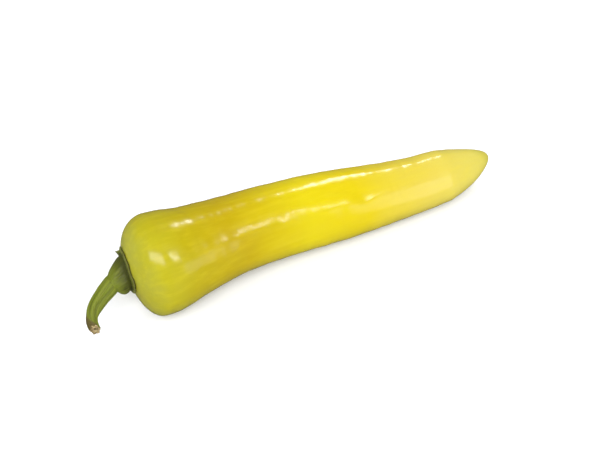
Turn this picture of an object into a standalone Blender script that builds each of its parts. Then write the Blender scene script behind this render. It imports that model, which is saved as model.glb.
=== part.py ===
"""A sweet pointed pepper, as picked, lying on its side: the fruit, its calyx and its cut stem.

Metres, +Z up. The stem end points to -X and the tip to +X. Angles round the fruit are measured
from straight up (0) towards the front, -Y (90 degrees). Stations run from the fruit's base, where
the calyx sits (0), to its tip. The origin is at the middle of the pepper's box, on the surface it
lies on.
"""

import math

import bmesh
import bpy
from mathutils import Vector

# ---- Driving dimensions ----------------------------------------------------------------------
FRUIT_LENGTH = 0.192
FRUIT_RADIUS = 0.0240  # at the shoulder, without its lobes
SHOULDER_DEPTH = 0.0175  # length of the rounded stem end, from the base to the widest section
SHOULDER_SQUARENESS = 2.15  # 2 is an ellipse, more is boxier
FULL_SIDE = 142  # the angle at which the stem end is fullest
FULLNESS = 0.0055  # how much shorter the rounding is there
TIP_DEPTH = 0.027  # length of the rounded blossom end
TIP_ROUNDNESS = 1.25  # less is more pointed

# The fruit's girth at a share of its length, as a share of its radius, before its ends are rounded.
GIRTHS = (
    (0.00, 1.000),
    (0.10, 0.983),
    (0.18, 0.867),
    (0.28, 0.783),
    (0.40, 0.750),
    (0.55, 0.717),
    (0.75, 0.592),
    (0.87, 0.538),
    (1.00, 0.483),
)

# Sideways bends of the fruit's middle line, at a share of its length.
SIDE_BENDS = (
    (0.00, -0.0002),
    (0.10, -0.0006),
    (0.36, 0.0022),
    (0.76, -0.0024),
    (0.93, -0.0024),
    (1.00, -0.0010),
)
TIP_LIFT = 0.0028  # how far the blossom end curves up off the surface
TIP_LIFT_FROM = 0.72  # share of the length where that starts
REST_AT = (0.11, 0.72)  # shares of the length where the fruit touches the surface
REST_FLAT_DEPTH = 0.0004  # how far its skin is pressed flat there

# Lobes and ridges: angle, half-width, height at the shoulder, height at the middle.
LOBES = (
    (-8, 30, 0.0010, 0.0009),
    (37, 16, 0.0000, 0.0007),
    (146, 26, 0.0018, 0.0006),
    (214, 26, 0.0018, 0.0006),
    (290, 26, 0.0008, 0.0006),
)

CALYX_RADIUS = 0.0111  # to the rim between two teeth
CALYX_LIP = 0.0007  # thickness of its thin outer rim
# Teeth of the rim: angle, half-width, length, and how far the point curls up off the fruit.
TEETH = (
    (-82, 8, 0.0011, 0.0020),
    (-46, 7, 0.0013, 0.0003),
    (22, 14, 0.0006, 0.0001),
    (78, 14, 0.0005, 0.0001),
    (165, 12, 0.0008, 0.0004),
    (218, 12, 0.0008, 0.0004),
)
CONE_RADIUS = 0.0088  # the thick middle of the calyx, where it stands on the rim
NARROW_SIDE = (41, 55, 0.0032)  # where rim and cone are narrower: angle, half-width, by how much
CONE_HEIGHT = 0.0082  # from the fruit's base to where the stem starts
CONE_LEAN = (0.0, -0.0022, -0.0025)  # how far the cone's top leans to the front and down
CONE_DIRECTION = (-0.96, -0.10, -0.25)  # the way its top faces, and the stem sets off
CONE_RIBS, RIB_HEIGHT = 5, 0.0003
BULGE = (128, 42, 0.0012)  # where the cone swells out: angle, half-width, height

# The stem is a hook to the front and down, bent more and more towards its cut end.
STEM_LENGTH = 0.024  # along its middle line
STEM_SETS_OFF = (-0.85, -0.30, -0.45)  # the way it runs where it leaves the calyx
STEM_TURNS_TO = (0.20, -1.00, -0.30)  # the way it runs at its cut end
STEM_HOOK = 2.5  # more bends it later
STEM_RADIUS, STEM_TAPER = 0.0042, 0.38  # its radius, and the share of it lost by the cut end
STEM_ROOT_RADIUS = 0.0047  # where it flares onto the calyx
STEM_FLARE = 0.1  # share of its length in which the flare fades

GAP = 0.0003  # between two pieces that touch

# ---- Mesh fineness ---------------------------------------------------------------------------
FRUIT_SIDES, FRUIT_RINGS = 64, 44
STEM_POINTS, STEM_STEPS = 8, 20  # points on its line, and steps worked out between two of them
CALYX_SIDES, CALYX_RINGS = 80, 20


def smooth_value(table, at):
    """The value at a place in a table of (place, value) pairs, on a smooth curve through them."""
    last = len(table) - 1
    i = max(0, min(last - 1, sum(place <= at for place, _ in table) - 1))

    def slope(k):
        a, b = table[max(k - 1, 0)], table[min(k + 1, last)]
        return (b[1] - a[1]) / (b[0] - a[0])

    (x0, y0), (x1, y1) = table[i], table[i + 1]
    width = x1 - x0
    t = (at - x0) / width
    return (
        (2 * t**3 - 3 * t**2 + 1) * y0
        + (t**3 - 2 * t**2 + t) * width * slope(i)
        + (3 * t**2 - 2 * t**3) * y1
        + (t**3 - t**2) * width * slope(i + 1)
    )


# ---- The fruit -------------------------------------------------------------------------------
def bell(angle, middle, half_width):
    """1 at the middle angle, falling smoothly to 0 on both sides of it."""
    away = (angle - middle + 180) % 360 - 180
    return math.exp(-((away / half_width) ** 2))


def lobe_height(station, angle):
    """How far the lobes and ridges stand out of the round fruit at this angle."""
    middle = min(1.0, max(0.0, (station / FRUIT_LENGTH - 0.08) / 0.3))
    fade = 1 - max(0.0, station / FRUIT_LENGTH - 0.6) / 0.4
    total = 0.0
    for lobe_angle, half_width, at_shoulder, at_middle in LOBES:
        height = at_shoulder + (at_middle - at_shoulder) * middle
        total += height * fade * bell(angle, lobe_angle, half_width)
    return total


def full_radius(station, angle):
    """The fruit's radius, lobes included, before its ends are rounded off."""
    girth = smooth_value(GIRTHS, station / FRUIT_LENGTH)
    return FRUIT_RADIUS * girth + lobe_height(station, angle)


def shoulder_depth(angle):
    """Length of the rounded stem end on one side of the fruit."""
    return SHOULDER_DEPTH - FULLNESS * max(0.0, math.cos(math.radians(angle - FULL_SIDE)))


def end_rounding(station, angle):
    """The share of the full radius that is left at the rounded base and at the rounded tip."""
    to_base = max(0.0, 1 - station / shoulder_depth(angle))
    to_tip = max(0.0, 1 - (FRUIT_LENGTH - station) / TIP_DEPTH)
    base = max(0.0, 1 - to_base**SHOULDER_SQUARENESS) ** (1 / SHOULDER_SQUARENESS)
    tip = max(0.0, 1 - to_tip**TIP_ROUNDNESS) ** 0.52
    return base * tip


def base_station(radius, angle):
    """The station where the skin of the rounded base is this far from the middle line."""
    share = min(1.0, radius / full_radius(0.0, angle))
    left = (1 - share**SHOULDER_SQUARENESS) ** (1 / SHOULDER_SQUARENESS)
    return shoulder_depth(angle) * (1 - left)


def reach_down(station):
    """How far the fruit's skin reaches below its middle line."""
    radii = [(full_radius(station, angle), angle) for angle in range(130, 231, 2)]
    return max(-radius * math.cos(math.radians(angle)) for radius, angle in radii)


def middle_line(station):
    """The fruit's middle line: it falls from the shoulder to the belly, so that both rest."""
    rests = [share * FRUIT_LENGTH for share in REST_AT]
    heights = [reach_down(rest) - REST_FLAT_DEPTH for rest in rests]
    fall = (heights[1] - heights[0]) / (rests[1] - rests[0])
    lift = max(0.0, (station / FRUIT_LENGTH - TIP_LIFT_FROM) / (1 - TIP_LIFT_FROM))
    height = heights[0] + fall * (station - rests[0]) + TIP_LIFT * lift**2
    return Vector((station, smooth_value(SIDE_BENDS, station / FRUIT_LENGTH), height))


def outwards(angle):
    """The direction away from the middle line at an angle round it."""
    turn = math.radians(angle)
    return Vector((0, -math.sin(turn), math.cos(turn)))


def fruit_station(share):
    """Stations for the rings: closer together where the ends round off."""
    base_share, tip_share = 0.22, 0.2
    if share < base_share:
        return SHOULDER_DEPTH * (1 - math.cos(share / base_share * math.pi / 2))
    if share > 1 - tip_share:
        to_end = (share - 1 + tip_share) / tip_share
        return FRUIT_LENGTH - TIP_DEPTH * (1 - math.sin(to_end * math.pi / 2))
    along = (share - base_share) / (1 - base_share - tip_share)
    return SHOULDER_DEPTH + (FRUIT_LENGTH - SHOULDER_DEPTH - TIP_DEPTH) * along


def fruit_place(share, angle):
    station = fruit_station(share)
    radius = full_radius(station, angle) * end_rounding(station, angle)
    place = middle_line(station) + radius * outwards(angle)
    place.z = max(place.z, 0.0)
    return place


# ---- The calyx -------------------------------------------------------------------------------
def rim_at(angle):
    """The radii of the rim, teeth included, and of the cone's foot, and how far the rim curls up."""
    reach = sum(length * bell(angle, at, width) for at, width, length, _ in TEETH)
    curl = sum(rise * bell(angle, at, width) for at, width, _, rise in TEETH)
    narrower = NARROW_SIDE[2] * bell(angle, NARROW_SIDE[0], NARROW_SIDE[1])
    return CALYX_RADIUS + reach - narrower, CONE_RADIUS - narrower, curl


def cone_top():
    """The middle of the calyx's flat top and the direction it faces."""
    centre = middle_line(0.0) + Vector((-CONE_HEIGHT, 0, 0)) + Vector(CONE_LEAN)
    return centre, Vector(CONE_DIRECTION).normalized()


def over_base(radius, angle, height):
    """A point this high over the skin of the fruit's base."""
    place = middle_line(0.0) + radius * outwards(angle)
    place.x = base_station(radius, angle) - GAP - height
    return place


def calyx_place(share, angle):
    """From the middle of its flat top, down the cone and out to the rim, then back in below."""
    top_share, foot_share, rim_share = 0.14, 0.48, 0.68
    rim, foot_radius, curl = rim_at(angle)
    centre, facing = cone_top()
    turn = Vector((-1, 0, 0)).rotation_difference(facing)
    edge = centre + turn @ (STEM_ROOT_RADIUS * outwards(angle))
    foot = over_base(foot_radius, angle, CALYX_LIP)
    if share < top_share:
        return centre.lerp(edge, share / top_share)
    if share < foot_share:
        down = (share - top_share) / (foot_share - top_share)
        rib = RIB_HEIGHT * (1 + math.cos(math.radians(angle) * CONE_RIBS))
        swell = rib + BULGE[2] * bell(angle, BULGE[0], BULGE[1])
        return edge.lerp(foot, down) + swell * math.sin(math.pi * down) * outwards(angle)
    if share < rim_share:
        out = (share - foot_share) / (rim_share - foot_share)
        radius, height = foot_radius + (rim - foot_radius) * out, CALYX_LIP
    else:
        radius, height = rim * (1 - share) / (1 - rim_share), 0.0
    lifted = max(0.0, (radius - foot_radius) / (rim - foot_radius)) ** 2
    return over_base(radius, angle, height + curl * lifted)


# ---- Objects ---------------------------------------------------------------------------------
def material(name, colour, roughness):
    made = bpy.data.materials.new(name)
    made.use_nodes = True
    shader = made.node_tree.nodes["Principled BSDF"]
    shader.inputs["Base Color"].default_value = (*colour, 1)
    shader.inputs["Roughness"].default_value = roughness
    shader.inputs["Metallic"].default_value = 0
    return made


def add_shaped_sphere(name, sides, rings, place, finish, collection):
    """A UV sphere moved point by point: place(share from one pole to the other, angle)."""
    shape = bmesh.new()
    bmesh.ops.create_uvsphere(shape, u_segments=sides, v_segments=rings, radius=1)
    for vertex in shape.verts:
        share = math.acos(max(-1.0, min(1.0, vertex.co.z))) / math.pi
        angle = math.degrees(math.atan2(vertex.co.y, vertex.co.x))
        vertex.co = place(share, angle)
    bmesh.ops.recalc_face_normals(shape, faces=shape.faces)
    mesh = bpy.data.meshes.new(name)
    shape.to_mesh(mesh)
    shape.free()
    mesh.shade_smooth()
    mesh.materials.append(finish)
    made = bpy.data.objects.new(name, mesh)
    collection.objects.link(made)
    return made


def stem_route():
    """Offsets from the stem's root and radii, at evenly spaced points along it."""
    start, end = Vector(STEM_SETS_OFF).normalized(), Vector(STEM_TURNS_TO).normalized()
    steps = (STEM_POINTS - 1) * STEM_STEPS
    route, at = [], Vector()
    for i in range(steps + 1):
        share = i / steps
        if i % STEM_STEPS == 0:
            flare = (STEM_ROOT_RADIUS - STEM_RADIUS) * math.exp(-share / STEM_FLARE)
            route.append((at.copy(), STEM_RADIUS * (1 - STEM_TAPER * share) + flare))
        at += start.lerp(end, share**STEM_HOOK).normalized() * STEM_LENGTH / steps
    return route


def add_stem(finish, collection):
    """A tapering tube that leaves the calyx's flat top and hooks down and to the front."""
    centre, facing = cone_top()
    root = centre + GAP * facing
    curve = bpy.data.curves.new("stem", "CURVE")
    curve.dimensions = "3D"
    curve.bevel_depth = 1.0
    curve.bevel_resolution = 4
    curve.resolution_u = 5
    curve.use_fill_caps = True
    line = curve.splines.new("BEZIER")
    line.bezier_points.add(STEM_POINTS - 1)
    for point, (offset, radius) in zip(line.bezier_points, stem_route()):
        point.co = root + offset
        point.radius = radius
        point.handle_left_type = point.handle_right_type = "AUTO"
    first = line.bezier_points[0]
    first.handle_left_type = first.handle_right_type = "FREE"
    first.handle_left = root - 0.0015 * facing
    first.handle_right = root + 0.0015 * facing
    curve.materials.append(finish)
    made = bpy.data.objects.new("stem", curve)
    collection.objects.link(made)
    return made


def centre_on_origin(parts):
    """Parents the parts to an empty that puts the middle of their box over the origin."""
    bpy.context.view_layer.update()
    corners = [part.matrix_world @ Vector(corner) for part in parts for corner in part.bound_box]
    low = [min(corner[k] for corner in corners) for k in range(3)]
    high = [max(corner[k] for corner in corners) for k in range(3)]
    holder = bpy.data.objects.new("pepper", None)
    bpy.context.scene.collection.objects.link(holder)
    for part in parts:
        part.parent = holder
    holder.location = (-(low[0] + high[0]) / 2, -(low[1] + high[1]) / 2, -low[2])


def main():
    for old in list(bpy.data.objects):
        bpy.data.objects.remove(old)
    parts = bpy.data.collections.new("sweet_pointed_pepper")
    bpy.context.scene.collection.children.link(parts)
    skin = material("yellow_skin", (0.72, 0.57, 0.02), 0.3)
    green = material("green_calyx", (0.13, 0.16, 0.025), 0.55)
    stalk = material("green_stem", (0.24, 0.28, 0.04), 0.5)
    pieces = [
        add_shaped_sphere("fruit", FRUIT_SIDES, FRUIT_RINGS, fruit_place, skin, parts),
        add_shaped_sphere("calyx", CALYX_SIDES, CALYX_RINGS, calyx_place, green, parts),
        add_stem(stalk, parts),
    ]
    centre_on_origin(pieces)


main()
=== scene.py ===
"""The sweet pointed pepper as it looks: a finer skin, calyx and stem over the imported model.

Metres, +Z up. The stem end points to -X and the tip to +X. Angles round the fruit are in degrees,
from straight up (0) towards the front, -Y (90). Stations run from the fruit's base (0) to its tip.
"""
import math

import bmesh
import bpy
import numpy as np
from mathutils import Matrix, Quaternion, Vector, noise


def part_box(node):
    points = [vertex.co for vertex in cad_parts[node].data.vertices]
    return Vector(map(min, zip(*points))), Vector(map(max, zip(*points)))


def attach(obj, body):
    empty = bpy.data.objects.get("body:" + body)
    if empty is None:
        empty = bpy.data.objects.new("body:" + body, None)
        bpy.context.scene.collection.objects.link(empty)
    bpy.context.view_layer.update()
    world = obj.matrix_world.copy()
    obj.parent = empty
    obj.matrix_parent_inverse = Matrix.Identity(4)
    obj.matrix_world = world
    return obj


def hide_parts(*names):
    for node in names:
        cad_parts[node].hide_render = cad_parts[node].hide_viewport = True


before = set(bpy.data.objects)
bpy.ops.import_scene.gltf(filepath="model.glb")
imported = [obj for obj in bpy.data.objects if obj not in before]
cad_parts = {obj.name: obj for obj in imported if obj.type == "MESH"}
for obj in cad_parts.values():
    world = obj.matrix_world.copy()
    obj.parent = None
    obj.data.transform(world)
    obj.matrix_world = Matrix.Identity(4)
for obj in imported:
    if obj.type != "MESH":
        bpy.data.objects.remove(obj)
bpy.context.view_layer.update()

# ---- Sizes, the same as in the CAD -----------------------------------------------------------
FRUIT_LENGTH, FRUIT_RADIUS = 0.192, 0.0240
SHOULDER_DEPTH, SHOULDER_SQUARENESS = 0.0175, 2.15
FULL_SIDE, FULLNESS = 142, 0.0055
TIP_DEPTH, TIP_ROUNDNESS = 0.027, 1.25
TIP_SLIMNESS = 0.52  # less is blunter
GIRTHS = ((0.00, 1.000), (0.10, 0.983), (0.18, 0.867), (0.28, 0.783), (0.40, 0.750),
          (0.55, 0.717), (0.75, 0.592), (0.87, 0.538), (1.00, 0.483))
SIDE_BENDS = ((0.00, -0.0002), (0.10, -0.0006), (0.36, 0.0022), (0.76, -0.0024),
              (0.93, -0.0024), (1.00, -0.0010))
TIP_LIFT, TIP_LIFT_FROM = 0.0028, 0.72
REST_AT, REST_FLAT_DEPTH = (0.11, 0.72), 0.0004
LOBES = ((-8, 30, 0.0010, 0.0009), (37, 16, 0.0000, 0.0007), (146, 26, 0.0018, 0.0006),
         (214, 26, 0.0018, 0.0006), (290, 26, 0.0008, 0.0006))
LOBES_CHANGE_FROM, LOBES_CHANGE_OVER = 0.08, 0.3  # from their shoulder height to their middle height
LOBES_FADE_FROM = 0.6  # and they fade out towards the tip
CALYX_RADIUS, CALYX_LIP = 0.0111, 0.0007
TEETH = ((-82, 8, 0.0011, 0.0020), (-46, 7, 0.0013, 0.0003), (22, 14, 0.0006, 0.0001),
         (78, 14, 0.0005, 0.0001), (165, 12, 0.0008, 0.0004), (218, 12, 0.0008, 0.0004))
CONE_RADIUS, CONE_HEIGHT = 0.0088, 0.0082
NARROW_SIDE = (41, 55, 0.0032)
CONE_LEAN, CONE_DIRECTION = (0.0, -0.0022, -0.0025), (-0.96, -0.10, -0.25)
CONE_RIBS, RIB_HEIGHT = 5, 0.0003
BULGE = (128, 42, 0.0012)
STEM_LENGTH, STEM_HOOK = 0.024, 2.5
STEM_SETS_OFF, STEM_TURNS_TO = (-0.85, -0.30, -0.45), (0.20, -1.00, -0.30)
STEM_RADIUS, STEM_TAPER = 0.0042, 0.38
STEM_ROOT_RADIUS, STEM_FLARE = 0.0047, 0.1
GAP = 0.0003

# ---- Finer details than the CAD's ------------------------------------------------------------
# The skin's own ups and downs: place along the fruit in mm, angle, half-length in mm, half-width in
# degrees, height in mm. A minus sign makes a hollow.
SKIN_FEATURES = (
    (5, 31, 8, 24, 0.50),  # the shoulder is squarer at the front
    (18, 36, 10, 20, -0.25),
    (50, 37, 27, 17, -0.35),  # the front ridge is low just past the shoulder
    (84, 37, 13, 10, -0.36),  # and is broad before it sharpens
    (101, 15, 20, 9, -0.42),  # hollow between the two ridges
    (112, 17, 5, 8, -0.25),
    (112, 2, 18, 12, -0.30),  # the upper ridge is flat along its middle
    (118, 33, 6.5, 14, -0.65),  # dent where the front ridge ends
    (150, 50, 24, 16, -0.60),  # flat facet on the front, towards the tip
    (154, 8, 15, 13, -0.22),
    (60, 66, 26, 14, -0.30),
    (100, 92, 34, 18, -0.35),
    (58, -22, 22, 12, -0.22),
    (132, -30, 22, 12, -0.25),
)

# Uneven surfaces: height, how closely it is packed along x, y and z, seed and octaves.
SOFT_DENTS = (0.00016, (26, 60, 60), 1, 1)
WRINKLES = (0.00020, (170, 80, 80), 2, 1)
CREASES = (0.00006, (420, 110, 110), 3, 1)
STEM_BUMPS = (0.00012, (200, 200, 200), 5, 2)
CUT_FIBRES = (0.00035, (1100, 1100, 1100), 7, 2)
NOISE_DIMENSION, NOISE_LACUNARITY = 0.6, 2.1  # more makes finer octaves weaker, and more closely packed
CALM_FROM, CALM_OVER = 0.010, 0.02  # where the unevenness grows in, at each of the fruit's ends
WRINKLES_AT_ENDS = 0.3  # the share of the wrinkles that is left at those ends
FEATURES_FROM, FEATURES_OVER = 0.001, 0.004

RIM_WOBBLE = 0.0005  # how far the calyx's rim wanders in and out
FINE_RIBS = 29
FINE_RIBS_ON_RIM, FINE_RIBS_ON_CONE, FINE_RIBS_ON_LIP = 0.00012, 0.00006, 0.00008
# Grooves round the calyx: the place down its cone, half-width and depth.
NECK_GROOVE, FOOT_GROOVE = (0.06, 0.07, 0.0003), (1, 0.12, 0.0004)
STEM_GROOVE = (0, 0.02, 0.0002)  # the same round the stem's root, as a share of the stem's length

STEM_RIDGES = ((6, 0.6, 0.00022), (17, 0, 0.00008), (31, 1.3, 0.00006))  # number, turn and height
RIDGES_AT_ROOT = 0.35  # the share of that height at the root
DRIED_FROM, DRIED_OVER, DRIED_BY = 0.5, 0.4, 0.12  # the stem has shrunk a little towards its cut
ROOT_SUNK = 0.0008  # how deep the root reaches into the calyx
CUT_FACES, CUT_SLANT = (-0.3, -0.5, 0.8), 0.80  # the way the slanting cut is turned, and its slope
CUT_FROM = 0.75  # the share of the length where the rings begin to slant
# Rings of the cut face: their size as a share of its rim, and how far they stand out.
CUT_RINGS = ((0.97, 0.0002), (0.9, 0.0004), (0.8, 0.0005), (0.66, 0.0004), (0.5, 0.0003),
             (0.34, 0.0001), (0.16, -0.0002))

# ---- Mesh fineness ---------------------------------------------------------------------------
FRUIT_RINGS, FRUIT_SIDES = 330, 216
END_RINGS = 0.16  # the share of the fruit's rings that each rounded end takes
CONE_RINGS, LIP_RINGS, UNDER_RINGS = 34, 14, 22
CALYX_SIDES = 240
STEM_RINGS, STEM_SIDES = 140, 144


# ---- The fruit's shape -----------------------------------------------------------------------
def smooth_value(table, at):
    """Values on a smooth curve through (place, value) pairs, for an array of places."""
    at = np.asarray(at, float)
    xs = np.array([place for place, _ in table])
    ys = np.array([value for _, value in table])
    before = np.maximum(np.arange(len(xs)) - 1, 0)
    after = np.minimum(np.arange(len(xs)) + 1, len(xs) - 1)
    slopes = (ys[after] - ys[before]) / (xs[after] - xs[before])
    i = np.clip(np.searchsorted(xs, at, side="right") - 1, 0, len(xs) - 2)
    width = xs[i + 1] - xs[i]
    t = (at - xs[i]) / width
    return ((2 * t**3 - 3 * t**2 + 1) * ys[i] + (t**3 - 2 * t**2 + t) * width * slopes[i]
            + (3 * t**2 - 2 * t**3) * ys[i + 1] + (t**3 - t**2) * width * slopes[i + 1])


def bell(angle, middle, half_width):
    """1 at the middle angle, falling smoothly to 0 on both sides of it."""
    away = (angle - middle + 180) % 360 - 180
    return np.exp(-((away / half_width) ** 2))


def full_radius(station, angle):
    """The fruit's radius with its lobes, before its two ends are rounded off."""
    share = station / FRUIT_LENGTH
    middle = np.clip((share - LOBES_CHANGE_FROM) / LOBES_CHANGE_OVER, 0, 1)
    fade = 1 - np.maximum(0.0, share - LOBES_FADE_FROM) / (1 - LOBES_FADE_FROM)
    radius = FRUIT_RADIUS * smooth_value(GIRTHS, share)
    for lobe_angle, half_width, at_shoulder, at_middle in LOBES:
        height = at_shoulder + (at_middle - at_shoulder) * middle
        radius = radius + height * fade * bell(angle, lobe_angle, half_width)
    return radius


def shoulder_depth(angle):
    """Length of the rounded stem end on one side of the fruit."""
    return SHOULDER_DEPTH - FULLNESS * np.maximum(0, np.cos(np.radians(angle - FULL_SIDE)))


def end_rounding(station, angle):
    """The share of the full radius that is left at the rounded base and at the rounded tip."""
    to_base = np.maximum(0, 1 - station / shoulder_depth(angle))
    to_tip = np.maximum(0, 1 - (FRUIT_LENGTH - station) / TIP_DEPTH)
    base = np.maximum(0, 1 - to_base**SHOULDER_SQUARENESS) ** (1 / SHOULDER_SQUARENESS)
    tip = np.maximum(0, 1 - to_tip**TIP_ROUNDNESS) ** TIP_SLIMNESS
    return base * tip


def base_station(radius, angle):
    """The station where the skin of the rounded base is this far from the middle line."""
    share = np.minimum(1.0, radius / full_radius(0.0, angle))
    left = (1 - share**SHOULDER_SQUARENESS) ** (1 / SHOULDER_SQUARENESS)
    return shoulder_depth(angle) * (1 - left)


def reach_down(station):
    """How far the fruit's skin reaches below its middle line."""
    underside = np.arange(130.0, 231.0, 2.0)
    return float(np.max(-full_radius(station, underside) * np.cos(np.radians(underside))))


REST_HEIGHTS = [reach_down(share * FRUIT_LENGTH) - REST_FLAT_DEPTH for share in REST_AT]


def middle_line(station):
    """Points of the fruit's middle line, stacked in the last axis."""
    share = np.asarray(station, float) / FRUIT_LENGTH
    fall = (REST_HEIGHTS[1] - REST_HEIGHTS[0]) / (REST_AT[1] - REST_AT[0])
    lift = np.maximum(0, (share - TIP_LIFT_FROM) / (1 - TIP_LIFT_FROM))
    height = REST_HEIGHTS[0] + fall * (share - REST_AT[0]) + TIP_LIFT * lift**2
    return np.stack([share * FRUIT_LENGTH, smooth_value(SIDE_BENDS, share), height], -1)


def outwards(angle):
    """The way out from the middle line at an angle, stacked in the last axis."""
    turn = np.radians(angle)
    return np.stack([np.zeros_like(turn), -np.sin(turn), np.cos(turn)], -1)


def unevenness(points, height, packing, seed, octaves):
    """Smooth ups and downs at an array of points."""
    far_apart = 17.3 * seed
    flat = (points * np.asarray(packing)).reshape(-1, 3) + far_apart
    made = [noise.fractal(Vector(p), NOISE_DIMENSION, NOISE_LACUNARITY, octaves) for p in flat]
    return height * np.array(made).reshape(points.shape[:-1])


def grid_piece(name, points, places=None):
    """A closed smooth skin over rings of points (ring, angle, xyz). Its material can read the places,
    which say where each point is along and round the piece."""
    rings, sides = points.shape[:2]
    verts = [tuple(p) for p in points.reshape(-1, 3)]
    faces = []
    for i in range(rings - 1):
        for j in range(sides):
            k = (j + 1) % sides
            faces.append((i * sides + j, i * sides + k, (i + 1) * sides + k, (i + 1) * sides + j))
    for ring in (0, rings - 1):
        verts.append(tuple(points[ring].mean(axis=0)))
        for j in range(sides):
            faces.append((ring * sides + j, ring * sides + (j + 1) % sides, len(verts) - 1))
    mesh = bpy.data.meshes.new(name)
    mesh.from_pydata(verts, [], faces)
    shape = bmesh.new()
    shape.from_mesh(mesh)
    bmesh.ops.recalc_face_normals(shape, faces=shape.faces)
    shape.to_mesh(mesh)
    shape.free()
    mesh.shade_smooth()
    if places is not None:
        ends = [places[ring].mean(axis=0) for ring in (0, rings - 1)]
        held = mesh.attributes.new("place", "FLOAT_VECTOR", "POINT")
        held.data.foreach_set("vector", np.concatenate([places.reshape(-1, 3), ends]).astype("f").ravel())
    made = bpy.data.objects.new(name, mesh)
    bpy.context.scene.collection.objects.link(made)
    return made


def skin_features(station, angle):
    """How far the skin stands out, or in, by its own ups and downs."""
    total = 0.0
    for at, around, length, width, height in SKIN_FEATURES:
        place = np.exp(-((station * 1000 - at) / length) ** 2)
        total = total + 0.001 * height * place * bell(angle, around, width)
    return total


def ring_stations(rings):
    """The stations of the fruit's rings, closer together on its two rounded ends."""
    share = (np.arange(rings) + 0.5) / rings
    at_base = share / END_RINGS
    at_tip = (share - (1 - END_RINGS)) / END_RINGS
    between = (share - END_RINGS) / (1 - 2 * END_RINGS)
    base = SHOULDER_DEPTH * (1 - np.cos(at_base * np.pi / 2))
    tip = FRUIT_LENGTH - TIP_DEPTH * (1 - np.sin(at_tip * np.pi / 2))
    middle = SHOULDER_DEPTH + (FRUIT_LENGTH - SHOULDER_DEPTH - TIP_DEPTH) * between
    return np.where(at_base < 1, base, np.where(at_tip > 0, tip, middle))


def fruit_points(rings, sides):
    """Rings of points on the fruit's skin, from its base to its tip."""
    station, angle = np.meshgrid(ring_stations(rings), np.arange(sides) * 360 / sides, indexing="ij")
    radius = full_radius(station, angle) * end_rounding(station, angle)
    middle, out = middle_line(station), outwards(angle)
    skin = middle + radius[..., None] * out
    # The unevenness dies out towards both ends, where the rings close up.
    past_base = np.clip((station - CALM_FROM) / CALM_OVER, 0, 1)
    before_tip = np.clip((FRUIT_LENGTH - station) / CALM_OVER, 0, 1)
    grown = past_base * before_tip
    dents = unevenness(skin, *SOFT_DENTS) * grown
    wrinkles = unevenness(skin, *WRINKLES) + unevenness(skin, *CREASES)
    wrinkles = wrinkles * (WRINKLES_AT_ENDS + (1 - WRINKLES_AT_ENDS) * grown)
    features = skin_features(station, angle) * np.clip((station - FEATURES_FROM) / FEATURES_OVER, 0, 1)
    skin = skin + (dents + wrinkles + features)[..., None] * out
    skin[..., 2] = np.maximum(skin[..., 2], 0.0)
    return skin


# ---- Where the shape sits in the frame -------------------------------------------------------
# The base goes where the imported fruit's is, and the two are centred on each other sideways. A coarse
# skin is enough to measure that.
rough = fruit_points(120, 90)
low, high = (np.array(corner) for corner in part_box("fruit"))
sideways = (low[1] + high[1] - rough[..., 1].min() - rough[..., 1].max()) / 2
SHIFT = np.array([low[0] - rough[..., 0].min(), sideways, low[2]])
fruit = grid_piece("fruit_skin", fruit_points(FRUIT_RINGS, FRUIT_SIDES) + SHIFT)


# ---- The calyx -------------------------------------------------------------------------------
def rim_at(angle):
    """The radii of the rim and of the cone's foot, and how far the rim curls up."""
    reach = sum(length * bell(angle, at, width) for at, width, length, _ in TEETH)
    curl = sum(rise * bell(angle, at, width) for at, width, _, rise in TEETH)
    narrower = NARROW_SIDE[2] * bell(angle, NARROW_SIDE[0], NARROW_SIDE[1])
    return CALYX_RADIUS + reach - narrower, CONE_RADIUS - narrower, curl


def over_base(radius, angle, height):
    """Points at a radius from the middle line that stand a height above the fruit's rounded base."""
    place = middle_line(0.0) + radius[..., None] * outwards(angle)
    place[..., 0] = base_station(radius, angle) - GAP - height
    return place


def cone_top():
    """The middle of the cone's top, and the way it faces."""
    centre = Vector(middle_line(0.0)) + Vector((-CONE_HEIGHT, 0, 0)) + Vector(CONE_LEAN)
    return centre, Vector(CONE_DIRECTION).normalized()


def round_places(turn, along):
    """What a material can read at a ring: where round it, as a circle, and how far along."""
    return np.stack([np.cos(turn), np.sin(turn), np.full(len(turn), along)], -1)


def groove(at, middle, half_width, depth):
    return depth * np.exp(-((at - middle) / half_width) ** 2)


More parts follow.
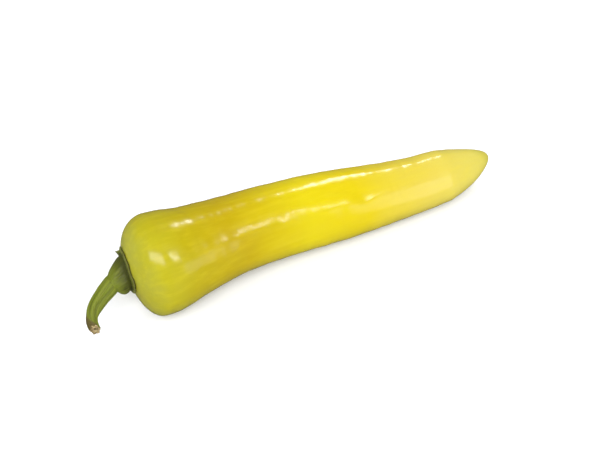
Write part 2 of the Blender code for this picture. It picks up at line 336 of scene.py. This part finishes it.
def calyx_points(sides):
    """Rings from the middle of the cone's top, down its side, over the rim and back in below it.
    The third place number is 0 at the cone's top, 1 at its foot, 2 at the rim and 3 below it."""
    angle = np.arange(sides) * 360 / sides
    turn = np.radians(angle)
    packing, seed = 2.4, 3.1
    on_circle = [Vector((math.cos(a) * packing, math.sin(a) * packing, seed)) for a in turn]
    wobble = np.array([noise.noise(place) for place in on_circle])
    fine = np.cos(turn * FINE_RIBS + 4 * wobble)
    rim, foot_radius, curl = rim_at(angle)
    rim = rim + RIM_WOBBLE * wobble + FINE_RIBS_ON_RIM * fine
    centre, facing = cone_top()
    tilt = np.array(Vector((-1, 0, 0)).rotation_difference(facing).to_matrix())
    centre = np.array(centre)
    edge = centre + (STEM_ROOT_RADIUS * outwards(angle)) @ tilt.T
    foot = over_base(foot_radius, angle, np.full(sides, CALYX_LIP))
    swell = RIB_HEIGHT * (1 + np.cos(turn * CONE_RIBS)) + BULGE[2] * bell(angle, BULGE[0], BULGE[1])
    rings = [centre + (edge - centre) * share for share in (0.3, 0.6, 0.93)]
    places = [round_places(turn, 0.0)] * 3
    for down in np.linspace(0.02, 1, CONE_RINGS):
        out = (swell + FINE_RIBS_ON_CONE * fine) * math.sin(math.pi * down)
        out = out - groove(down, *NECK_GROOVE) - groove(down, *FOOT_GROOVE)
        rings.append(edge + (foot - edge) * down + out[..., None] * outwards(angle))
        places.append(round_places(turn, down))
    for out in np.linspace(0.08, 1, LIP_RINGS):
        radius = foot_radius + (rim - foot_radius) * out
        lip = CALYX_LIP * (0.75 + 0.3 * math.sin(math.pi * out)) + FINE_RIBS_ON_LIP * fine
        rings.append(over_base(radius, angle, lip + curl * out**2))
        places.append(round_places(turn, 1 + out))
    for back in np.linspace(0.99, 0.03, UNDER_RINGS):
        radius = rim * back
        lifted = np.maximum(0, (radius - foot_radius) / (rim - foot_radius)) ** 2
        rings.append(over_base(radius, angle, curl * lifted))
        places.append(round_places(turn, 3.0))
    return np.stack(rings), np.stack(places)


rings, places = calyx_points(CALYX_SIDES)
calyx = grid_piece("calyx_green", rings + SHIFT, places)


# ---- The stem --------------------------------------------------------------------------------
def stem_line(share):
    """Offsets from the stem's root: it bends more and more towards its cut end."""
    start, end = (np.array(Vector(way).normalized()) for way in (STEM_SETS_OFF, STEM_TURNS_TO))
    heading = start + (end - start) * share[:, None] ** STEM_HOOK
    heading /= np.linalg.norm(heading, axis=1)[:, None]
    steps = STEM_LENGTH / (len(share) - 1) * (heading[1:] + heading[:-1]) / 2
    return np.concatenate([np.zeros((1, 3)), np.cumsum(steps, axis=0)])


def stem_points(rings, sides):
    """Rings from the root to the cut end. The third place number is 0 at the root, 1 where the side
    ends, and more on the cut face."""
    centre, facing = cone_top()
    facing = np.array(facing)
    root = np.array(centre) + GAP * facing
    share = np.linspace(0, 1, rings)
    line = root + stem_line(share)
    radius = STEM_RADIUS * (1 - STEM_TAPER * share)
    radius = radius + (STEM_ROOT_RADIUS - STEM_RADIUS) * np.exp(-share / STEM_FLARE)
    radius = radius * (1 - DRIED_BY * np.clip((share - DRIED_FROM) / DRIED_OVER, 0, 1))
    radius = radius - groove(share, *STEM_GROOVE)
    forward = np.gradient(line, axis=0)
    forward /= np.linalg.norm(forward, axis=1)[:, None]
    # The first rings lie flat on the cone's top.
    forward = forward + (facing - forward) * np.exp(-(share / 0.1) ** 2)[:, None]
    roughly_up = np.array([0.0, 0.35, 1.0])
    side = np.cross(forward, roughly_up)
    side /= np.linalg.norm(side, axis=1)[:, None]
    upward = np.cross(side, forward)
    upward /= np.linalg.norm(upward, axis=1)[:, None]
    turn = np.arange(sides) * 2 * np.pi / sides
    ridges = sum(height * np.cos(number * turn + turned) for number, turned, height in STEM_RIDGES)
    grown = RIDGES_AT_ROOT + (1 - RIDGES_AT_ROOT) * np.clip(share * 5, 0, 1)
    thick = radius[:, None] + ridges[None, :] * grown[:, None]
    ring = np.cos(turn)[None, :, None] * side[:, None, :] + np.sin(turn)[None, :, None] * upward[:, None, :]
    skin = line[:, None, :] + thick[..., None] * ring
    skin = skin + unevenness(skin, *STEM_BUMPS)[..., None] * ring
    # The cut slants: the upper side of the stem ends sooner than its lower side.
    end, ahead = line[-1], forward[-1]
    over = np.array(CUT_FACES) - np.dot(CUT_FACES, ahead) * ahead
    over /= np.linalg.norm(over)
    slanting = np.clip((share - CUT_FROM) / (1 - CUT_FROM), 0, 1) ** 2
    early = -CUT_SLANT * ((skin - line[:, None, :]) @ over) * slanting[:, None]
    skin = skin + early[..., None] * forward[:, None, :]
    face = (ahead + CUT_SLANT * over) / math.hypot(1, CUT_SLANT)
    # Its root reaches a little into the calyx, where the two have grown together.
    made = [root - ROOT_SUNK * facing + (skin[0] - root) * keep for keep in (0.4, 0.9)] + list(skin)
    places = [round_places(turn, 0.0)] * 2 + [round_places(turn, s) for s in share]
    # The cut end: its rim is rounded, and its face is rough with broken fibres.
    for keep, forth in CUT_RINGS:
        flat = end + (skin[-1] - end) * keep
        fibres = unevenness(flat, *CUT_FIBRES) * min(1, 4 * (1 - keep))
        made.append(flat + (forth + fibres)[:, None] * face)
        places.append(round_places(turn, 2 - keep) * np.array([keep, keep, 1]))
    return np.stack(made), np.stack(places)


rings, places = stem_points(STEM_RINGS, STEM_SIDES)
stem = grid_piece("stem_green", rings + SHIFT, places)


# ---- Materials -------------------------------------------------------------------------------
def new_material(name):
    made = bpy.data.materials.new(name)
    made.use_nodes = True
    tree = made.node_tree
    return made, tree, tree.nodes["Principled BSDF"]


def add(tree, kind, **settings):
    node = tree.nodes.new(kind)
    for key, value in settings.items():
        setattr(node, key, value)
    return node


def object_place(tree):
    return add(tree, "ShaderNodeTexCoord").outputs["Object"]


def scaled_noise(tree, vector, scale, size, detail=3.0, rough=0.55):
    """Noise at a place that is first stretched by a scale for each axis."""
    mapping = add(tree, "ShaderNodeMapping")
    mapping.inputs["Scale"].default_value = scale
    tree.links.new(vector, mapping.inputs["Vector"])
    made = add(tree, "ShaderNodeTexNoise")
    made.inputs["Scale"].default_value = size
    made.inputs["Detail"].default_value = detail
    made.inputs["Roughness"].default_value = rough
    tree.links.new(mapping.outputs["Vector"], made.inputs["Vector"])
    return made.outputs["Fac"]


def ramp(tree, factor, stops):
    """Colours from (position, colour) stops."""
    made = add(tree, "ShaderNodeValToRGB")
    elements = made.color_ramp.elements
    while len(elements) < len(stops):
        elements.new(0.5)
    for element, (position, colour) in zip(elements, stops):
        element.position = position
        element.color = (*colour, 1)
    tree.links.new(factor, made.inputs["Fac"])
    return made.outputs["Color"]


def span(tree, value, low, high, to_low=0.0, to_high=1.0, way="SMOOTHSTEP"):
    """A value moved from one range to another, and held inside it."""
    made = add(tree, "ShaderNodeMapRange", interpolation_type=way)
    for key, number in (("From Min", low), ("From Max", high), ("To Min", to_low), ("To Max", to_high)):
        made.inputs[key].default_value = number
    tree.links.new(value, made.inputs["Value"])
    return made.outputs["Result"]


def mix(tree, factor, first, second):
    """From the first colour to the second, where the factor goes from 0 to 1."""
    made = add(tree, "ShaderNodeMix", data_type="RGBA")
    tree.links.new(factor, made.inputs[0])
    for socket, colour in ((made.inputs[6], first), (made.inputs[7], second)):
        if isinstance(colour, tuple):
            socket.default_value = (*colour, 1)
        else:
            tree.links.new(colour, socket)
    return made.outputs[2]


def math_node(tree, operation, *values):
    made = add(tree, "ShaderNodeMath", operation=operation)
    for socket, value in zip(made.inputs, values):
        if isinstance(value, (int, float)):
            socket.default_value = value
        else:
            tree.links.new(value, socket)
    return made.outputs[0]


def plus(tree, first, second):
    return math_node(tree, "ADD", first, second)


def times(tree, first, second):
    return math_node(tree, "MULTIPLY", first, second)


def bump(tree, height, strength, distance):
    made = add(tree, "ShaderNodeBump")
    made.inputs["Strength"].default_value = strength
    made.inputs["Distance"].default_value = distance
    tree.links.new(height, made.inputs["Height"])
    return made.outputs["Normal"]


def skin_material():
    made, tree, shader = new_material("pepper_skin")
    place = object_place(tree)
    axes = add(tree, "ShaderNodeSeparateXYZ")
    tree.links.new(place, axes.inputs[0])
    base_x, tip_x = float(low[0]), float(high[0])
    along = span(tree, axes.outputs["X"], base_x, tip_x, way="LINEAR")
    blotch = scaled_noise(tree, place, (0.5, 1, 1), 38, 3)
    # The colour changes from the base to the tip, in uneven bounds. Its paler, bluer stops towards the tip
    # are partly the skin's own colour and partly a painted sheen.
    shift = times(tree, math_node(tree, "SUBTRACT", blotch, 0.5), 0.16)
    colour = ramp(tree, plus(tree, along, shift), (
        (0.00, (0.30, 0.30, 0.035)), (0.05, (0.335, 0.302, 0.008)), (0.14, (0.34, 0.278, 0.002)),
        (0.27, (0.355, 0.26, 0.001)), (0.45, (0.51, 0.42, 0.001)), (0.62, (0.515, 0.405, 0.001)),
        (0.80, (0.525, 0.425, 0.058)), (0.96, (0.53, 0.46, 0.085)), (1.00, (0.46, 0.41, 0.06))))
    # Darker and greener towards the underside and the low shoulder: greener as less ripe skin, darker as
    # painted shade.
    height = plus(tree, axes.outputs["Z"], times(tree, blotch, 0.012))
    under = span(tree, height, 0.006, 0.026, 1.0, 0.0)
    colour = mix(tree, times(tree, under, 0.62), colour, (0.21, 0.205, 0.022))
    # Fine streaks along the fruit, and small cloudy flecks in the skin.
    streaks = scaled_noise(tree, place, (0.07, 1, 1), 420, 4, 0.6)
    colour = mix(tree, span(tree, streaks, 0.4, 0.75, 0.0, 0.14), colour, (0.66, 0.54, 0.02))
    flecks = scaled_noise(tree, place, (1, 1, 1), 900, 2)
    colour = mix(tree, span(tree, flecks, 0.55, 0.8, 0.0, 0.12), colour, (0.46, 0.33, 0.002))
    # The dry scar that the flower left at the tip.
    colour = mix(tree, span(tree, along, 0.994, 0.999, 0.0, 0.8), colour, (0.16, 0.12, 0.03))
    tree.links.new(colour, shader.inputs["Base Color"])
    gloss = scaled_noise(tree, place, (1, 1, 1), 160, 4)
    tree.links.new(span(tree, gloss, 0.25, 0.75, 0.16, 0.23), shader.inputs["Roughness"])
    fine = scaled_noise(tree, place, (1.0, 0.35, 0.35), 700, 3, 0.6)
    tree.links.new(bump(tree, fine, 0.05, 0.0003), shader.inputs["Normal"])
    shader.inputs["IOR"].default_value = 1.45
    shader.inputs["Subsurface Weight"].default_value = 0.12
    shader.inputs["Subsurface Radius"].default_value = (1.0, 0.6, 0.1)
    shader.inputs["Subsurface Scale"].default_value = 0.003
    return made


def own_place(tree):
    """The piece's own places: round it as a circle, and along it."""
    place = add(tree, "ShaderNodeAttribute", attribute_name="place")
    axes = add(tree, "ShaderNodeSeparateXYZ")
    tree.links.new(place.outputs["Vector"], axes.inputs[0])
    return place.outputs["Vector"], axes.outputs["X"], axes.outputs["Y"], axes.outputs["Z"]


def green_streaks(tree, place, light, dark, pale):
    """Green that runs in lengthwise streaks, with pale threads and a few cloudy patches."""
    broad = scaled_noise(tree, place, (1, 1, 0.45), 2.6, 3)
    colour = mix(tree, span(tree, broad, 0.32, 0.68), dark, light)
    streaks = scaled_noise(tree, place, (1, 1, 0.16), 9, 3, 0.6)
    colour = mix(tree, span(tree, streaks, 0.45, 0.7, 0.0, 0.55), colour, pale)
    grooves = scaled_noise(tree, place, (1, 1, 0.12), 17, 3, 0.6)
    return mix(tree, span(tree, grooves, 0.52, 0.75, 0.0, 0.45), colour, dark), streaks


def finish_green(tree, shader, colour, streaks):
    """The matt, slightly fibrous surface that calyx and stem share."""
    grain = scaled_noise(tree, object_place(tree), (1, 1, 1), 1500, 3, 0.6)
    tree.links.new(colour, shader.inputs["Base Color"])
    tree.links.new(span(tree, grain, 0.3, 0.8, 0.42, 0.6), shader.inputs["Roughness"])
    height = plus(tree, streaks, times(tree, grain, 0.5))
    tree.links.new(bump(tree, height, 0.3, 0.0004), shader.inputs["Normal"])
    shader.inputs["Specular IOR Level"].default_value = 0.25
    shader.inputs["Subsurface Weight"].default_value = 0.1
    shader.inputs["Subsurface Radius"].default_value = (0.6, 1.0, 0.15)
    shader.inputs["Subsurface Scale"].default_value = 0.001


def calyx_material():
    made, tree, shader = new_material("calyx_skin")
    place, _, _, along = own_place(tree)
    light, dark, pale = (0.100, 0.115, 0.007), (0.050, 0.058, 0.004), (0.135, 0.155, 0.015)
    colour, streaks = green_streaks(tree, place, light, dark, pale)
    # As light as the stem where the two join, darker at the foot, then a dry pale rim with brown points.
    colour = mix(tree, span(tree, along, 0.05, 0.55, 0.75, 0.0), colour, (0.130, 0.160, 0.009))
    # The darker foot is painted shade, in the crease where the cone meets the fruit.
    foot = times(tree, span(tree, along, 0.35, 0.9), span(tree, along, 1.05, 1.35, 1.0, 0.0))
    colour = mix(tree, times(tree, foot, 0.8), colour, (0.042, 0.046, 0.006))
    rim = span(tree, plus(tree, along, times(tree, streaks, 0.5)), 1.75, 2.1, 0.0, 0.35)
    colour = mix(tree, rim, colour, (0.22, 0.22, 0.06))
    colour = mix(tree, span(tree, along, 1.95, 2.3, 0.0, 0.6), colour, (0.08, 0.065, 0.02))
    finish_green(tree, shader, colour, streaks)
    return made


def stem_material():
    made, tree, shader = new_material("stem_skin")
    place, across, _, along = own_place(tree)
    light, dark, pale = (0.140, 0.170, 0.009), (0.083, 0.103, 0.005), (0.235, 0.25, 0.04)
    colour, streaks = green_streaks(tree, place, light, dark, pale)
    # Towards the cut the skin has dried brown, and the cut face shows pale broken fibres.
    reach = plus(tree, along, times(tree, streaks, 0.16))
    reach = plus(tree, reach, times(tree, across, 0.20))
    colour = mix(tree, span(tree, reach, 0.86, 1.02, 0.0, 0.9), colour, (0.085, 0.060, 0.018))
    fibres = scaled_noise(tree, object_place(tree), (1, 1, 1), 1100, 3, 0.6)
    cut = ramp(tree, fibres, (
        (0.34, (0.07, 0.05, 0.018)), (0.50, (0.22, 0.16, 0.065)), (0.66, (0.52, 0.43, 0.23))))
    # The middle of the cut face is painted darker, as shade in a hollow centre.
    cut = mix(tree, span(tree, along, 1.72, 1.84, 0.0, 0.8), cut, (0.05, 0.035, 0.012))
    colour = mix(tree, span(tree, along, 1.03, 1.12), colour, cut)
    finish_green(tree, shader, colour, streaks)
    return made


def dress(piece, node, finish):
    """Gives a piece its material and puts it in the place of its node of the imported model."""
    piece.data.materials.append(finish)
    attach(piece, "root")
    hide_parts(node)


dress(fruit, "fruit", skin_material())
dress(calyx, "calyx", calyx_material())
dress(stem, "stem", stem_material())


# ---- Floor, light and camera -----------------------------------------------------------------
def add_floor():
    mesh = bpy.data.meshes.new("floor")
    mesh.from_pydata([(-3, -3, 0), (3, -3, 0), (3, 3, 0), (-3, 3, 0)], [], [(0, 1, 2, 3)])
    made = bpy.data.objects.new("floor", mesh)
    made.location.z = -0.0002  # just under the fruit's two flats
    bpy.context.scene.collection.objects.link(made)
    finish, tree, shader = new_material("floor_white")
    paper = scaled_noise(tree, object_place(tree), (1, 1, 1), 60, 3)
    tree.links.new(mix(tree, paper, (0.87, 0.875, 0.92), (0.90, 0.905, 0.95)), shader.inputs["Base Color"])
    shader.inputs["Roughness"].default_value = 0.9
    shader.inputs["Specular IOR Level"].default_value = 0.0
    mesh.materials.append(finish)
    made.visible_glossy = False


def add_light(name, place, aim, size, size_y, power, glossy=True, roll=0):
    data = bpy.data.lights.new(name, "AREA")
    data.shape = "RECTANGLE"
    data.size, data.size_y, data.energy = size, size_y, power
    made = bpy.data.objects.new(name, data)
    made.location = place
    aimed = (Vector(aim) - Vector(place)).to_track_quat("-Z", "Y")
    made.rotation_euler = (aimed @ Quaternion((0, 0, 1), math.radians(roll))).to_euler()
    made.visible_glossy, made.visible_camera = glossy, False
    bpy.context.scene.collection.objects.link(made)


def add_camera():
    azimuth, elevation, distance = math.radians(-25.1), math.radians(52), 0.899
    sensor_width, focal_ratio = 36, 3.125
    to_the_right, upwards = 0.00544, -0.00266
    back = Vector((math.sin(azimuth) * math.cos(elevation),
                   -math.cos(azimuth) * math.cos(elevation), math.sin(elevation)))
    right = Vector((math.cos(azimuth), math.sin(azimuth), 0))
    up = back.cross(right)
    aim = Vector((0, 0, 0.02)) + right * to_the_right + up * upwards
    data = bpy.data.cameras.new("camera")
    data.sensor_width = sensor_width
    data.lens = sensor_width * focal_ratio
    data.clip_start, data.clip_end = 0.05, 20
    made = bpy.data.objects.new("camera", data)
    turned = Matrix((right, up, back)).transposed().to_4x4()
    made.matrix_world = Matrix.Translation(aim + back * distance) @ turned
    bpy.context.scene.collection.objects.link(made)
    bpy.context.scene.camera = made


def add_world():
    """A white room that lights the pepper evenly, but shows only faintly in its gloss."""
    room_light, in_gloss = 0.71, 0.12
    world = bpy.data.worlds.new("studio")
    world.use_nodes = True
    tree = world.node_tree
    background = tree.nodes["Background"]
    background.inputs["Color"].default_value = (1, 1, 1, 1)
    is_glossy = add(tree, "ShaderNodeLightPath").outputs["Is Glossy Ray"]
    tree.links.new(span(tree, is_glossy, 0, 1, room_light, in_gloss), background.inputs["Strength"])
    bpy.context.scene.world = world


add_floor()
# Large soft lights: place, aim, the two sizes and the power. They don't show in the gloss.
add_light("key", (0.42, -0.42, 1.00), (0, 0, 0), 0.36, 0.46, 2.4, glossy=False)
add_light("low_fill", (0.45, -1.25, 0.45), (0.03, 0, 0.02), 1.0, 0.5, 5.3, glossy=False)
add_light("back_fill", (-0.90, 0.60, 0.90), (-0.03, 0, 0.02), 0.8, 0.8, 8.4, glossy=False)
# Small soft cards that the ridges, the shoulder and the flank mirror.
add_light("shoulder_card", (-0.250, -0.225, 0.400), (-0.07, -0.01, 0.04), 0.50, 0.17, 1.50, roll=15)
add_light("ridge_card", (0.214, -0.310, 0.400), (0, -0.01, 0.035), 0.026, 0.18, 0.31)
add_light("back_card", (0.172, 0.193, 0.215), (0.025, 0, 0.035), 0.045, 0.110, 0.29)
add_light("side_card", (0.175, -0.230, 0.080), (0.07, -0.01, 0.02), 0.11, 0.13, 0.078)
add_world()
bpy.context.scene.view_settings.view_transform = "Standard"
add_camera()
